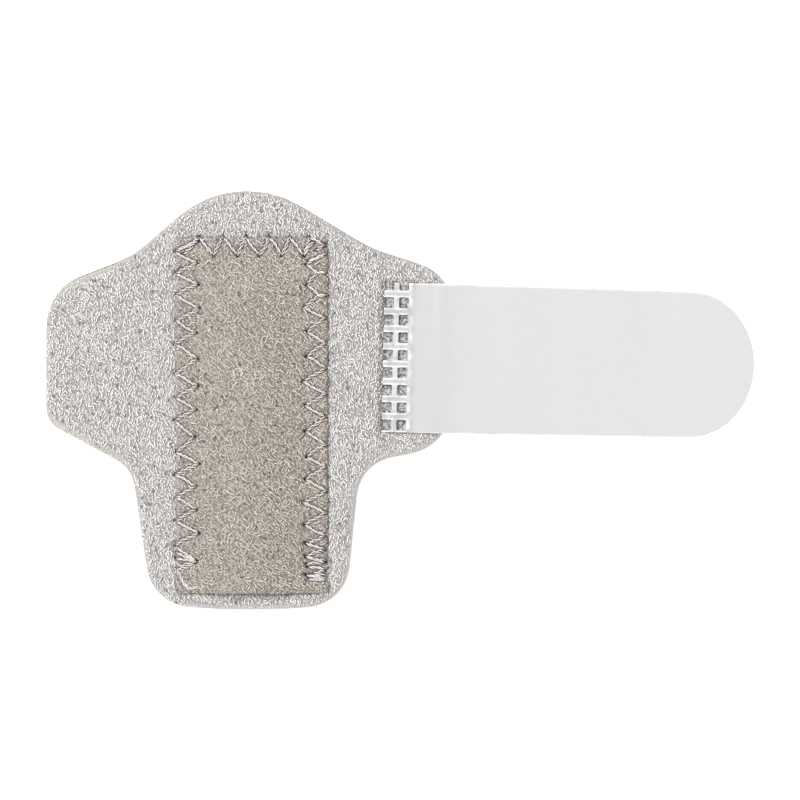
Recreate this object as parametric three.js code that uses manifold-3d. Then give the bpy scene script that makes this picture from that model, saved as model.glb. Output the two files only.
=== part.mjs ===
// Finger splint lying open on a surface: a laminated pad with a stem and two wings, a sewn-on
// pocket for a stay, and a hook strap welded to one wing.
// Millimetres. +X points to the strap's free end, +Y to the pad's crown, +Z up off the surface.

import * as THREE from 'three';
import { mergeVertices } from 'three/addons/utils/BufferGeometryUtils.js';
import Module from 'manifold-3d';

const wasm = await Module();
wasm.setup();
const { clamp, degToRad, lerp, smoothstep } = THREE.MathUtils;

// Pad
const padLength = 69.9; // crown to foot
const wingSpan = 67.8; // wing end to wing end
const stemWidth = 32.35; // at the foot
const liningThickness = 0.6;
const foamThickness = 2.0;
const faceThickness = 1.0;
const edgeRoll = 0.8; // how far the face fabric rolls in at the pad's edge
const foamBulge = 0.12; // how far the foam swells between its two skins
const edgeReveal = 0.6; // the widest strip of foam left bare by the face fabric

// Pocket, sewn to the face fabric along its top and sides and open at its mouth
const pocketSideMargin = 3.6; // to the stem's edge at the foot
const pocketFootMargin = 2.75;
const pocketCrownMargin = 7.85;
const pocketWall = 1.0;
const pocketHollow = 1.0; // free height in the middle
const pocketCorner = 1.0; // corner radius beside the crown
const seamWidth = 3.3;
const seamSqueeze = 0.3; // how much thinner the thread draws the wall
const hollowRun = 7.0; // from the crown seam to the full free height
const cutRound = 0.35; // rounding of the wall's cut edges

// Strap, lying on the right wing and running out past it
const strapLength = 62.0;
const strapWidth = 25.0;
const strapTipWidth = 24.3;
const strapTipLength = 10.75; // of the rounded end
const strapOverlap = 11.5; // from the strap's root to the wing's end
const strapRaise = 0.5; // above the wing's middle line
const strapTurn = 1.3; // degrees, clockwise from above
const webThickness = 0.5;
const webChamfer = 0.1;
const hookHeight = 0.75;
const hookInset = 0.8; // bare selvedge beside the hooks
const hookGap = 0.05; // between the hooks' roots and the web
const napGap = 0.05; // between the hooks' tips and the fabric under them
const strapLanding = 4.3; // straight stretch on the surface before the rounded end
const overhang = 1.5; // from the wing's end to where the strap starts to come down

// Weld that holds the strap down in the face fabric
const weldLength = 4.5;
const weldRise = 5.0; // length in which the strap climbs back onto its hooks
const weldFloor = 0.35; // face fabric left under the weld
const weldGap = 0.05;
const weldClearance = 0.3; // beside the strap, in the face fabric
const dentRows = 9;
const dentColumns = 2;
const dentLength = 1.6; // along the strap
const dentWidth = 1.73; // across the strap
const dentColumnPitch = 2.55;
const dentRowPitch = 2.92;
const dentStart = 0.85; // from the strap's root to the first column's middle
const dentRaise = 0.41; // the rows sit a little high on the strap
const dentFloor = 0.14; // web left under a dent
const dentDraft = 0.15; // how much narrower a dent is at its floor, on each side

const arcStep = degToRad(11); // turn between two points of a rounded corner
const bluntAngle = degToRad(84); // where round the strap's end the outline is closed off
const sharpEdge = 0.01; // chamfer of a strip whose edges are left sharp
const hair = 0.02; // stations that lie closer than this are one

const foamBottom = liningThickness;
const faceBottom = foamBottom + foamThickness;
const faceTop = faceBottom + faceThickness;

// Corners of the pad's outline, anticlockwise from above. `across` is a share of half the size in
// `of`, from the stem's middle line; `along` is a share of the pad's length, from its foot; `round`
// is a share of the stem's width. `foam` and `lining` are shares of the edge reveal: how far
// the face fabric stays back from the foam, and the lining stands out past it, on the edge that
// follows the corner.
const stem = stemWidth;
const wings = wingSpan;
const padCorners = [
  { name: 'crown left', of: stem, across: -0.46, along: 1.0, round: 0.569, foam: 0.25, lining: 0.0 },
  { name: 'shoulder left', of: stem, across: -1.27, along: 0.838, round: 0.464, foam: 0.7, lining: 0.3 },
  { name: 'wing top left', of: wings, across: -1.016, along: 0.761, round: 0.268, foam: 0.25, lining: 0.0 },
  { name: 'wing foot left', of: wings, across: -1.016, along: 0.4465, round: 0.124, foam: 1.0, lining: 0.0 },
  { name: 'notch left', of: stem, across: -1.245, along: 0.337, round: 0.176, foam: 0.25, lining: 0.0 },
  { name: 'foot left', of: stem, across: -1.037, along: 0.013, round: 0.232, foam: 0.25, lining: 0.0 },
  { name: 'sole left', of: stem, across: -0.381, along: 0.0, round: 1.855, foam: 0.25, lining: 0.0 },
  { name: 'sole right', of: stem, across: 0.34, along: 0.0, round: 1.855, foam: 0.25, lining: 0.0 },
  { name: 'foot right', of: stem, across: 0.963, along: 0.013, round: 0.226, foam: 0.25, lining: 0.0 },
  { name: 'notch right', of: stem, across: 1.112, along: 0.35, round: 0.219, foam: 0.25, lining: 0.0 },
  { name: 'wing foot right', of: wings, across: 0.984, along: 0.389, round: 0.26, foam: 0.25, lining: 0.0 },
  { name: 'wing top right', of: wings, across: 0.984, along: 0.8, round: 0.232, foam: 0.25, lining: 0.0 },
  { name: 'shoulder right', of: stem, across: 1.223, along: 0.864, round: 0.516, foam: 0.25, lining: 0.0 },
  { name: 'crown right', of: stem, across: 0.242, along: 1.0, round: 0.569, foam: 0.25, lining: 0.0 },
];

const padCorner = (name) => padCorners.find((corner) => corner.name === name);
const cornerAt = ({ of, across, along }) => new THREE.Vector2((across * of) / 2, along * padLength);

// A closed body through rings of points that run anticlockwise round the way the rings advance.
function loft(rings, capFaces) {
  const count = rings[0].length;
  const last = count * (rings.length - 1);
  const faces = [];
  for (let base = 0; base < last; base += count) {
    for (let i = 0; i < count; i++) {
      const a = base + i;
      const b = base + ((i + 1) % count);
      faces.push(a, b, b + count, a, b + count, a + count);
    }
  }
  capFaces.forEach(([a, b, c]) => faces.push(c, b, a, last + a, last + b, last + c));
  const geometry = new THREE.BufferGeometry().setFromPoints(rings.flat());
  geometry.setIndex(faces);
  geometry.computeVertexNormals();
  return geometry;
}

// The pad's outline with every corner rounded. inset(corner) is how far the edge that follows a
// corner moves in, and arcs keep their point count, so outlines with other insets can be lofted.
function padOutline(inset) {
  const corners = padCorners.map(cornerAt);
  const wrap = (i) => (i + corners.length) % corners.length;
  const edges = corners.map((start, i) => {
    const direction = corners[wrap(i + 1)].clone().sub(start).normalize();
    const inward = new THREE.Vector2(-direction.y, direction.x);
    return { direction, inward, start: start.clone().addScaledVector(inward, inset(padCorners[i])) };
  });
  const bends = edges.map((edge, i) => {
    const before = edges[wrap(i - 1)];
    const turn = before.direction.cross(edge.direction);
    const reach = edge.start.clone().sub(before.start).cross(edge.direction) / turn;
    const angle = Math.atan2(turn, before.direction.dot(edge.direction));
    const move = (inset(padCorners[wrap(i - 1)]) + inset(padCorners[i])) / 2;
    const radius = Math.max(padCorners[i].round * stemWidth - Math.sign(turn) * move, edgeRoll / 4);
    return {
      point: before.start.clone().addScaledVector(before.direction, reach),
      angle,
      run: radius * Math.tan(Math.abs(angle) / 2),
    };
  });
  return bends.flatMap((bend, i) => {
    const before = bends[wrap(i - 1)];
    const after = bends[wrap(i + 1)];
    const roomBefore = bend.point.distanceTo(before.point) / (before.run + bend.run);
    const roomAfter = bend.point.distanceTo(after.point) / (after.run + bend.run);
    const run = bend.run * Math.min(1, 0.98 * roomBefore, 0.98 * roomAfter);
    const radius = run / Math.tan(Math.abs(bend.angle) / 2);
    const entry = edges[wrap(i - 1)];
    const centre = bend.point.clone()
      .addScaledVector(entry.direction, -run)
      .addScaledVector(entry.inward, Math.sign(bend.angle) * radius);
    const steps = Math.max(2, Math.round(Math.abs(bend.angle) / arcStep));
    const from = bend.point.clone().addScaledVector(entry.direction, -run);
    return Array.from({ length: steps + 1 }, (_, k) =>
      from.clone().rotateAround(centre, (bend.angle * k) / steps));
  });
}

// One layer of the pad, through levels of { height, inset }, with flat faces above and below.
function padLayer(levels, edgeInset) {
  const outlines = levels.map((level) => padOutline((corner) => level.inset + edgeInset(corner)));
  const rings = outlines.map((outline, k) =>
    outline.map((point) => new THREE.Vector3(point.x, point.y, levels[k].height)));
  return loft(rings, THREE.ShapeUtils.triangulateShape(outlines[0], []));
}

// A sheet through stations of { columns }, each column { under, over } a pair of points.
function sheet(stations) {
  const rings = stations.map(({ columns }) => [
    ...columns.map((column) => column.under),
    ...columns.map((column) => column.over).reverse(),
  ]);
  const last = rings[0].length - 1;
  const capFaces = [];
  for (let i = 0; i < stations[0].columns.length - 1; i++) {
    capFaces.push([i, i + 1, last - i - 1], [i, last - i - 1, last - i]);
  }
  return loft(rings, capFaces);
}

const range = (from, to, steps) => Array.from({ length: steps + 1 }, (_, i) => lerp(from, to, i / steps));

// Values in rising order, without those that lie closer together than a hair.
function inOrder(values) {
  const sorted = values.sort((a, b) => a - b);
  return sorted.filter((value, i) => i === 0 || value - sorted[i - 1] > hair);
}

// Where the strap is placed: its root on the right wing
const wingTop = cornerAt(padCorner('wing top right'));
const wingFoot = cornerAt(padCorner('wing foot right'));
const strapPlace = new THREE.Matrix4()
  .makeRotationZ(degToRad(-strapTurn))
  .setPosition(wingTop.x - strapOverlap, (wingTop.y + wingFoot.y) / 2 + strapRaise, 0);

const weldBed = faceBottom + weldFloor + weldGap; // underside of the web at the weld
const hookStart = weldLength + weldRise;
const tipStart = strapLength - strapTipLength;

// Height of the web's underside: pressed into the weld, up on its hooks over the wing, and down
// to where the hooks stand on the surface.
function webUnderside(along) {
  const overWing = faceTop + napGap + hookHeight;
  const risen = smoothstep(along, weldLength, hookStart);
  const dropped = smoothstep(along, strapOverlap + overhang, tipStart - strapLanding);
  return lerp(weldBed, overWing, risen) - (overWing - hookHeight) * dropped;
}

// Half the strap's width, running out in a rounded end.
function strapHalfWidth(along) {
  const straight = lerp(strapWidth, strapTipWidth, clamp(along / strapLength, 0, 1)) / 2;
  const intoTip = clamp((along - tipStart) / strapTipLength, 0, 1);
  return straight * Math.sqrt(1 - intoTip ** 2);
}

// Stations along the strap, closer together where it bends and in the rounded end.
function strapStations(from, to) {
  const bends = [
    ...range(weldLength, hookStart, 6),
    ...range(strapOverlap + overhang, tipStart - strapLanding, 10),
    ...range(0, bluntAngle, 9).map((angle) => tipStart + strapTipLength * Math.sin(angle)),
  ];
  return inOrder([from, ...bends.filter((along) => along > from && along < to), to]);
}

// A strip along the strap between two heights, with its long edges chamfered.
function strip(stations, halfWidth, under, over, chamfer) {
  return sheet(stations.map((along) => {
    const side = halfWidth(along);
    const column = (across, inward) => ({
      under: new THREE.Vector3(along, across, under(along) + inward),
      over: new THREE.Vector3(along, across, over(along) - inward),
    });
    const columns = [
      column(-side, chamfer),
      column(-side + chamfer, 0),
      column(side - chamfer, 0),
      column(side, chamfer),
    ];
    return { columns };
  }));
}

// A box between two corners, drawn in towards its floor by `draft` on each side.
function draftedBox(low, high, draft) {
  const size = high.clone().sub(low);
  const box = new THREE.BoxGeometry(size.x, size.y, size.z);
  const corner = box.getAttribute('position');
  for (let i = 0; i < corner.count; i++) {
    if (corner.getZ(i) < 0) {
      corner.setX(i, corner.getX(i) - Math.sign(corner.getX(i)) * draft);
      corner.setY(i, corner.getY(i) - Math.sign(corner.getY(i)) * draft);
    }
  }
  return box.translate(...low.clone().add(high).divideScalar(2));
}

function toSolid(geometry) {
  const bare = geometry.clone();
  bare.deleteAttribute('normal');
  bare.deleteAttribute('uv');
  const merged = mergeVertices(bare);
  return new wasm.Manifold(new wasm.Mesh({
    numProp: 3,
    vertProperties: new Float32Array(merged.getAttribute('position').array),
    triVerts: new Uint32Array(merged.getIndex().array),
  }));
}

function cut(geometry, tools) {
  const solid = tools.reduce((rest, tool) => rest.subtract(toSolid(tool)), toSolid(geometry));
  const mesh = solid.getMesh();
  const result = new THREE.BufferGeometry();
  result.setAttribute('position', new THREE.BufferAttribute(mesh.vertProperties, 3));
  result.setIndex(new THREE.BufferAttribute(mesh.triVerts, 1));
  result.computeVertexNormals();
  return result;
}

function backLining() {
  const levels = [
    { height: 0, inset: edgeRoll / 4 },
    { height: liningThickness / 2, inset: 0 },
    { height: foamBottom, inset: 0 },
  ];
  return padLayer(levels, (corner) => -corner.lining * edgeReveal);
}

function foamCore() {
  const levels = [
    { height: foamBottom, inset: foamBulge },
    { height: (foamBottom + faceBottom) / 2, inset: 0 },
    { height: faceBottom, inset: foamBulge },
  ];
  return padLayer(levels, () => 0);
}

function faceFabric() {
  const levels = [
    { height: faceBottom, inset: 0 },
    { height: lerp(faceBottom, faceTop, 0.4), inset: 0 },
    { height: lerp(faceBottom, faceTop, 0.8), inset: edgeRoll * 0.3 },
    { height: faceTop, inset: edgeRoll },
  ];
  const layer = padLayer(levels, (corner) => corner.foam * edgeReveal);
  const bed = strip(
    strapStations(-weldClearance, hookStart),
    (along) => strapHalfWidth(along) + weldClearance,
    (along) => webUnderside(along) - weldGap,
    () => faceTop + webThickness + hookHeight + hookGap,
    sharpEdge,
  );
  return cut(layer, [bed.applyMatrix4(strapPlace)]);
}

const pocketHalfWidth = stemWidth / 2 - pocketSideMargin;
const pocketMouth = pocketFootMargin;
const pocketTop = padLength - pocketCrownMargin;

// Free height under the pocket: none along its three seams, full in the middle and at the mouth.
function pocketHollowAt(x, y) {
  const across = clamp(Math.abs(x) / (pocketHalfWidth - seamWidth), 0, 1);
  const belowSeam = pocketTop - seamWidth - y;
  return pocketHollow * (1 - across ** 2) ** 2 * smoothstep(belowSeam, 0, hollowRun);
}

function pocketWallAt(x, y) {
  const fromSewnEdge = Math.min(pocketHalfWidth - Math.abs(x), pocketTop - y);
  return pocketWall - seamSqueeze * (1 - smoothstep(fromSewnEdge, seamWidth / 2, seamWidth * 1.5));
}

function stayPocket() {
  const along = inOrder([
    ...range(0, pocketCorner, 3),
    seamWidth / 2,
    ...range(seamWidth, seamWidth + hollowRun, 5),
    ...range(seamWidth + hollowRun, pocketTop - pocketMouth - cutRound, 6),
    pocketTop - pocketMouth,
  ]);
  const stations = along.map((down) => {
    const y = pocketTop - down;
    const cornerShare = clamp(1 - down / pocketCorner, 0, 1);
    const side = pocketHalfWidth - pocketCorner * (1 - Math.sqrt(1 - cornerShare ** 2));
    const margin = [0, cutRound, seamWidth / 2];
    const inside = range(-(side - seamWidth), side - seamWidth, 12);
    const across = [...margin.map((m) => m - side), ...inside, ...margin.map((m) => side - m).reverse()];
    const atEnd = down === 0 || y === pocketMouth;
    const columns = across.map((x, i) => {
      const floor = faceTop + pocketHollowAt(x, y);
      const atCut = atEnd || i === 0 || i === across.length - 1;
      const top = floor + pocketWallAt(x, y) - (atCut ? cutRound : 0);
      return { under: new THREE.Vector3(x, y, floor), over: new THREE.Vector3(x, y, top) };
    });
    return { columns };
  });
  return sheet(stations);
}

// One dent of the weld. Those in the first column and the first row run out over the web's edge.
function weldDent(row, column) {
  const middleX = dentStart + column * dentColumnPitch;
  const middleY = dentRaise + ((dentRows - 1) / 2 - row) * dentRowPitch;
  const runOut = webThickness;
  const low = new THREE.Vector3(
    column === 0 ? -runOut : middleX - dentLength / 2,
    middleY - dentWidth / 2,
    weldBed + dentFloor,
  );
  const high = new THREE.Vector3(
    middleX + dentLength / 2,
    row === 0 ? strapWidth / 2 + runOut : middleY + dentWidth / 2,
    weldBed + webThickness * 2,
  );
  return draftedBox(low, high, dentDraft);
}

function hookStrap() {
  const web = strip(
    strapStations(0, tipStart + strapTipLength * Math.sin(bluntAngle)),
    strapHalfWidth,
    webUnderside,
    (along) => webUnderside(along) + webThickness,
    webChamfer,
  );
  const dents = [];
  for (let row = 0; row < dentRows; row++) {
    for (let column = 0; column < dentColumns; column++) {
      dents.push(weldDent(row, column));
    }
  }
  return cut(web, dents);
}

function hookField() {
  const end = tipStart + (strapTipLength - hookInset) * Math.sin(bluntAngle);
  return strip(
    strapStations(hookStart, end),
    (along) => strapHalfWidth(along + hookInset) - hookInset,
    (along) => webUnderside(along) - hookHeight,
    (along) => webUnderside(along) - hookGap,
    sharpEdge,
  );
}

const materials = {
  face: new THREE.MeshStandardMaterial({ color: 0xcbc8c4, roughness: 0.95, metalness: 0 }),
  foam: new THREE.MeshStandardMaterial({ color: 0xe6e1cd, roughness: 0.9, metalness: 0 }),
  lining: new THREE.MeshStandardMaterial({ color: 0x6f7174, roughness: 0.95, metalness: 0 }),
  pocket: new THREE.MeshStandardMaterial({ color: 0xb1a9a0, roughness: 0.95, metalness: 0 }),
  web: new THREE.MeshStandardMaterial({ color: 0xe9e9e7, roughness: 0.5, metalness: 0 }),
  hooks: new THREE.MeshStandardMaterial({ color: 0xe4e4e2, roughness: 0.6, metalness: 0 }),
};

function piece(name, geometry, material) {
  const mesh = new THREE.Mesh(geometry, material);
  mesh.name = name;
  return mesh;
}

const pad = new THREE.Group();
pad.add(
  piece('back_lining', backLining(), materials.lining),
  piece('foam_core', foamCore(), materials.foam),
  piece('face_fabric', faceFabric(), materials.face),
  piece('stay_pocket', stayPocket(), materials.pocket),
);

const strap = new THREE.Group();
strap.applyMatrix4(strapPlace);
strap.add(
  piece('hook_strap', hookStrap(), materials.web),
  piece('hook_field', hookField(), materials.hooks),
);

// The origin is the middle of the splint's box, on the surface that it lies on
const splint = new THREE.Group();
splint.add(pad, strap);
const box = new THREE.Box3().setFromObject(splint, true);
const middle = box.getCenter(new THREE.Vector3());
splint.position.set(-middle.x, -middle.y, -box.min.z);

export default splint;
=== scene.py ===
"""Looks of the finger splint: pile fabrics, foam, stitching, hook tape and its weld."""

import math

import bpy
import numpy as np
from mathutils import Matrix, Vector
from mathutils.geometry import delaunay_2d_cdt
from mathutils.kdtree import KDTree


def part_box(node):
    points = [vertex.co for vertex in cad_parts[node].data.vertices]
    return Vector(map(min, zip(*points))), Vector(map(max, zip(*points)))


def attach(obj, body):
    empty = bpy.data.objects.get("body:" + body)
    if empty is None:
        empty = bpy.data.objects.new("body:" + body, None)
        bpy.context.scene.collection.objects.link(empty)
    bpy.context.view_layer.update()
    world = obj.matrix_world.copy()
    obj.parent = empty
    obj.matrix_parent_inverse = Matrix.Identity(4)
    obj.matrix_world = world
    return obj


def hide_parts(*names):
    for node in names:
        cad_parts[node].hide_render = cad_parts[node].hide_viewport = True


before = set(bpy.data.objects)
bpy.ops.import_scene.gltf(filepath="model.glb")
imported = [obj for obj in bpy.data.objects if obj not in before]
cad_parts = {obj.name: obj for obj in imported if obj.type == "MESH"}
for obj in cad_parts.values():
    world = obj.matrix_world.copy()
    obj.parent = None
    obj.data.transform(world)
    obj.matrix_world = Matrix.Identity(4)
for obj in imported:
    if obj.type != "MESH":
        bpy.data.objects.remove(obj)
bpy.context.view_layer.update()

MM = 0.001
UP = (0.0, 0.0, 1.0)

# Heights of the pad's layers, in mm
LINING_TOP = 0.6
FOAM_TOP = 2.6
FACE_TOP = 3.6
LAYER_GAP = 0.01
EDGE_ROLL = 0.8
ROLL_DROP = 0.6

# Pocket, in mm
SEAM_WIDTH = 3.3
POCKET_WALL = 1.0
SEAM_SQUEEZE = 0.3
POCKET_HOLLOW = 1.0
HOLLOW_RUN = 7.0
CUT_ROUND = 0.55

# Strap, in mm and in its own frame: along from its root, across to its left
STRAP_TURN = math.radians(1.3)
STRAP_LENGTH = 62.0
STRAP_WIDTH = 25.0
STRAP_TIP_WIDTH = 24.3
STRAP_TIP_LENGTH = 10.75
TIP_START = STRAP_LENGTH - STRAP_TIP_LENGTH
WEB = 0.5
HOOK_HEIGHT = 0.75
WELD_BED = 3.0
WELD_LENGTH = 4.5
HOOK_START = 9.5
OVER_WING = 4.4
DROP_START = 13.0
DROP_END = 46.95

# Weld dents
DENT_ROWS = 9
DENT_COLUMNS = 2
DENT_START = 0.85
DENT_COLUMN_PITCH = 2.45
DENT_ROW_PITCH = 2.92
DENT_RAISE = 0.41
DENT_HALF_LENGTH = 0.8
DENT_HALF_WIDTH = 0.89
DENT_DEPTH = 0.40
DENT_CORNER = 0.22


def smooth(value, low, high):
    """0 below low, 1 above high and a soft step between them."""
    share = np.clip((value - low) / (high - low), 0.0, 1.0)
    return share * share * (3.0 - 2.0 * share)


def ripple(points, length, seed):
    """A soft random swell between about -1 and 1, its waves about so many mm long."""
    rng = np.random.default_rng(seed)
    total = np.zeros(len(points))
    for _ in range(9):
        angle, phase = rng.uniform(0, 2 * math.pi, 2)
        wave = length * rng.uniform(0.7, 1.5)
        across = points[:, 0] * math.cos(angle) + points[:, 1] * math.sin(angle)
        total += np.sin(across * 2 * math.pi / wave + phase)
    return total / 4.5


def box_mm(node):
    """Lowest and highest corner of a CAD node, in mm."""
    low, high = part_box(node)
    return np.array(low) / MM, np.array(high) / MM


# Outlines

def cut_outline(node, height):
    """The outline of a CAD node's flat face at a height, anticlockwise from above, in mm."""
    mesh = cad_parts[node].data
    points = np.empty(len(mesh.vertices) * 3)
    mesh.vertices.foreach_get("co", points)
    order = np.empty(len(mesh.loops), dtype=np.int64)
    mesh.loops.foreach_get("vertex_index", order)
    corners = points.reshape(-1, 3)[order].reshape(-1, 3, 3) / MM
    flat = corners[np.all(np.abs(corners[:, :, 2] - height) < 0.002, axis=1)][:, :, :2]
    places, index = np.unique(np.round(flat.reshape(-1, 2), 4), axis=0, return_inverse=True)
    faces = index.reshape(-1, 3)
    edges = np.concatenate([faces[:, [0, 1]], faces[:, [1, 2]], faces[:, [2, 0]]]).tolist()
    known = {(a, b) for a, b in edges}
    following = {a: b for a, b in edges if (b, a) not in known}
    loop = [next(iter(following))]
    while following[loop[-1]] != loop[0]:
        loop.append(following[loop[-1]])
    outline = places[loop]
    ahead = np.roll(outline, -1, axis=0)
    area = (outline[:, 0] * ahead[:, 1] - outline[:, 1] * ahead[:, 0]).sum()
    return outline if area > 0 else outline[::-1]


def even_outline(outline, step, soften):
    """The same outline with evenly spaced points, its facets rounded off."""
    closed = np.vstack([outline, outline[:1]])
    run = np.concatenate([[0], np.cumsum(np.linalg.norm(np.diff(closed, axis=0), axis=1))])
    at = np.linspace(0, run[-1], int(round(run[-1] / step)), endpoint=False)
    points = np.column_stack([np.interp(at, run, closed[:, axis]) for axis in (0, 1)])
    reach = int(math.ceil(3 * soften / step))
    shifts = range(-reach, reach + 1)
    weights = [math.exp(-0.5 * (shift * step / soften) ** 2) for shift in shifts]
    rounded = sum(w * np.roll(points, shift, axis=0) for w, shift in zip(weights, shifts))
    return rounded / sum(weights)


def outward(outline):
    """Directions that point out of an anticlockwise outline."""
    run = np.roll(outline, -1, axis=0) - np.roll(outline, 1, axis=0)
    run /= np.linalg.norm(run, axis=1)[:, None]
    return np.column_stack([run[:, 1], -run[:, 0]])


def depth_inside(outline, points):
    """How far points lie inside an outline, and below zero outside it."""
    start, run = outline, np.roll(outline, -1, axis=0) - outline
    end_y = start[:, 1] + run[:, 1]
    slope = run[:, 0] / np.where(np.abs(run[:, 1]) < 1e-9, 1e-9, run[:, 1])
    square = (run ** 2).sum(axis=1)
    depth = np.empty(len(points))
    for first in range(0, len(points), 1500):
        some = points[first:first + 1500, :2]
        aside = some[:, None, :] - start[None]
        share = np.clip((aside * run).sum(axis=2) / square, 0, 1)
        gap = np.sqrt(((aside - share[..., None] * run) ** 2).sum(axis=2)).min(axis=1)
        level = some[:, 1:2]
        crosses = (start[:, 1] > level) != (end_y > level)
        left = some[:, 0:1] < start[:, 0] + (level - start[:, 1]) * slope
        inside = (crosses & left).sum(axis=1) % 2 == 1
        depth[first:first + 1500] = np.where(inside, gap, -gap)
    return depth


def inner_rings(outline, insets):
    """Copies of an outline's points, each copy further in."""
    return np.vstack([outline - outward(outline) * inset for inset in insets])


def scattered(outline, step, clearance, seed, keep=None):
    """Points of an uneven hexagonal grid inside an outline, clear of its edge."""
    low, high = outline.min(axis=0), outline.max(axis=0)
    rows = np.arange(low[1], high[1], step * math.sqrt(0.75))
    columns = np.arange(low[0], high[0], step)
    x, y = np.meshgrid(columns, rows)
    x = x + (np.arange(len(rows)) % 2)[:, None] * step / 2
    points = np.column_stack([x.ravel(), y.ravel()])
    points += np.random.default_rng(seed).uniform(-0.18, 0.18, points.shape) * step
    if keep:
        points = points[keep(points)]
    return points[depth_inside(outline, points) > clearance]


def fill(outline, inner):
    """Triangles over an outline and the points inside it."""
    points = np.vstack([outline, inner])
    count = len(outline)
    edges = [(i, (i + 1) % count) for i in range(count)]
    flat = [Vector((float(x), float(y))) for x, y in points]
    places, _, faces, origin, _, _ = delaunay_2d_cdt(flat, edges, [], 1, 1e-6)
    back = [sources[0] for sources in origin]
    return points, np.array([[back[corner] for corner in face] for face in faces])


# Meshes

def placed(name, data):
    """A new object in the scene, unturned and at the origin."""
    piece = bpy.data.objects.new(name, data)
    bpy.context.scene.collection.objects.link(piece)
    return piece


def guide_object(name, points, edges):
    """Loose points in mm, and the lines between them, for a recipe to work on."""
    mesh = bpy.data.meshes.new(name)
    mesh.from_pydata([(x * MM, y * MM, z * MM) for x, y, z in points], edges, [])
    return placed(name, mesh)


def mesh_object(name, points, faces, attributes=None):
    """An object from points in mm and triangles, with float attributes on its points."""
    points = np.asarray(points, dtype=float) * MM
    faces = np.asarray(faces, dtype=np.int64)
    mesh = bpy.data.meshes.new(name)
    mesh.vertices.add(len(points))
    mesh.vertices.foreach_set("co", points.ravel())
    mesh.loops.add(faces.size)
    mesh.loops.foreach_set("vertex_index", faces.ravel())
    mesh.polygons.add(len(faces))
    mesh.polygons.foreach_set("loop_start", np.arange(0, faces.size, 3))
    mesh.update(calc_edges=True)
    mesh.polygons.foreach_set("use_smooth", np.ones(len(faces), dtype=bool))
    for label, values in (attributes or {}).items():
        layer = mesh.attributes.new(label, "FLOAT", "POINT")
        layer.data.foreach_set("value", np.asarray(values, dtype=np.float32))
    return placed(name, mesh)


def layer_object(name, outline, over, under, top, bottom, wall, attributes=None):
    """A closed layer of cloth or foam between top(points) and bottom(points).

    over and under are the inner points of its two faces. wall lists (height share, bulge) of
    the loops round its edge. attributes gives each label's values from points and their side.
    """
    count = len(outline)
    upper, upper_faces = fill(outline, over)
    lower, lower_faces = fill(outline, under)
    upper_z, lower_z = top(upper), bottom(lower)
    away = outward(outline)
    loops = [np.arange(len(upper), len(upper) + count)]
    points = [np.column_stack([upper, upper_z]), np.column_stack([lower, lower_z])]
    total = len(upper) + len(lower)
    for share, bulge in wall:
        height = lower_z[:count] + (upper_z[:count] - lower_z[:count]) * share
        points.append(np.column_stack([outline + away * bulge, height]))
        loops.append(np.arange(total, total + count))
        total += count
    loops.append(np.arange(count))
    faces = [upper_faces, lower_faces[:, ::-1] + len(upper)]
    for below, above in zip(loops, loops[1:]):
        below_next, above_next = np.roll(below, -1), np.roll(above, -1)
        faces.append(np.column_stack([below, below_next, above_next]))
        faces.append(np.column_stack([below, above_next, above]))
    points, faces = np.vstack(points), np.vstack(faces)
    side = np.zeros(len(points), dtype=bool)
    side[:len(upper)] = True
    values = {label: value(points, side) for label, value in (attributes or {}).items()}
    return mesh_object(name, points, faces, values)


def level(height):
    """A surface at one height, for a layer's top or bottom."""
    return lambda points: np.full(len(points), height)


# Nodes

class Value:
    """A node's output. Sums written with it become Math nodes."""

    def __init__(self, graph, socket):
        self.graph = graph
        self.socket = socket

    def output(self, name):
        return Value(self.graph, self.socket.node.outputs[name])

    def math(self, operation, *numbers):
        return self.graph.node("ShaderNodeMath", {"operation": operation}, dict(enumerate(numbers)))

    def __add__(self, other):
        return self.math("ADD", self, other)

    def __radd__(self, other):
        return self.math("ADD", other, self)

    def __sub__(self, other):
        return self.math("SUBTRACT", self, other)

    def __rsub__(self, other):
        return self.math("SUBTRACT", other, self)

    def __mul__(self, other):
        return self.math("MULTIPLY", self, other)

    def __rmul__(self, other):
        return self.math("MULTIPLY", other, self)

    def __truediv__(self, other):
        return self.math("DIVIDE", self, other)

    def step(self, low, high):
        """0 below low, 1 above high and a soft step between them."""
        return self.graph.node(
            "ShaderNodeMapRange",
            {"interpolation_type": "SMOOTHSTEP"},
            {"Value": self, "From Min": low, "From Max": high},
        )


class Graph:
    """A node tree that is built node by node."""

    def __init__(self, tree):
        self.tree = tree

    def node(self, kind, settings=None, values=None, output=0):
        """One node: its settings first, then its sockets' values or links."""
        node = self.tree.nodes.new(kind)
        for name, setting in (settings or {}).items():
            if name == "stops":
                while len(node.color_ramp.elements) < len(setting):
                    node.color_ramp.elements.new(1.0)
                for element, (place, colour) in zip(node.color_ramp.elements, setting):
                    element.position = place
                    element.color = (*colour, 1.0)
            else:
                setattr(node, name, setting)
        for name, value in (values or {}).items():
            for single in value if isinstance(value, list) else [value]:
                if isinstance(single, Value):
                    self.tree.links.new(single.socket, node.inputs[name])
                else:
                    node.inputs[name].default_value = single
        return Value(self, node.outputs[output]) if len(node.outputs) else None

    def vector(self, operation, *values):
        return self.node("ShaderNodeVectorMath", {"operation": operation}, dict(enumerate(values)))

    def scaled(self, vector, number):
        return self.node("ShaderNodeVectorMath", {"operation": "SCALE"}, {0: vector, "Scale": number})

    def noise(self, place, scale, detail=2.0, rough=0.5, output=0):
        return self.node(
            "ShaderNodeTexNoise",
            {"noise_dimensions": "3D"},
            {"Vector": place, "Scale": scale, "Detail": detail, "Roughness": rough},
            output,
        )


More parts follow.
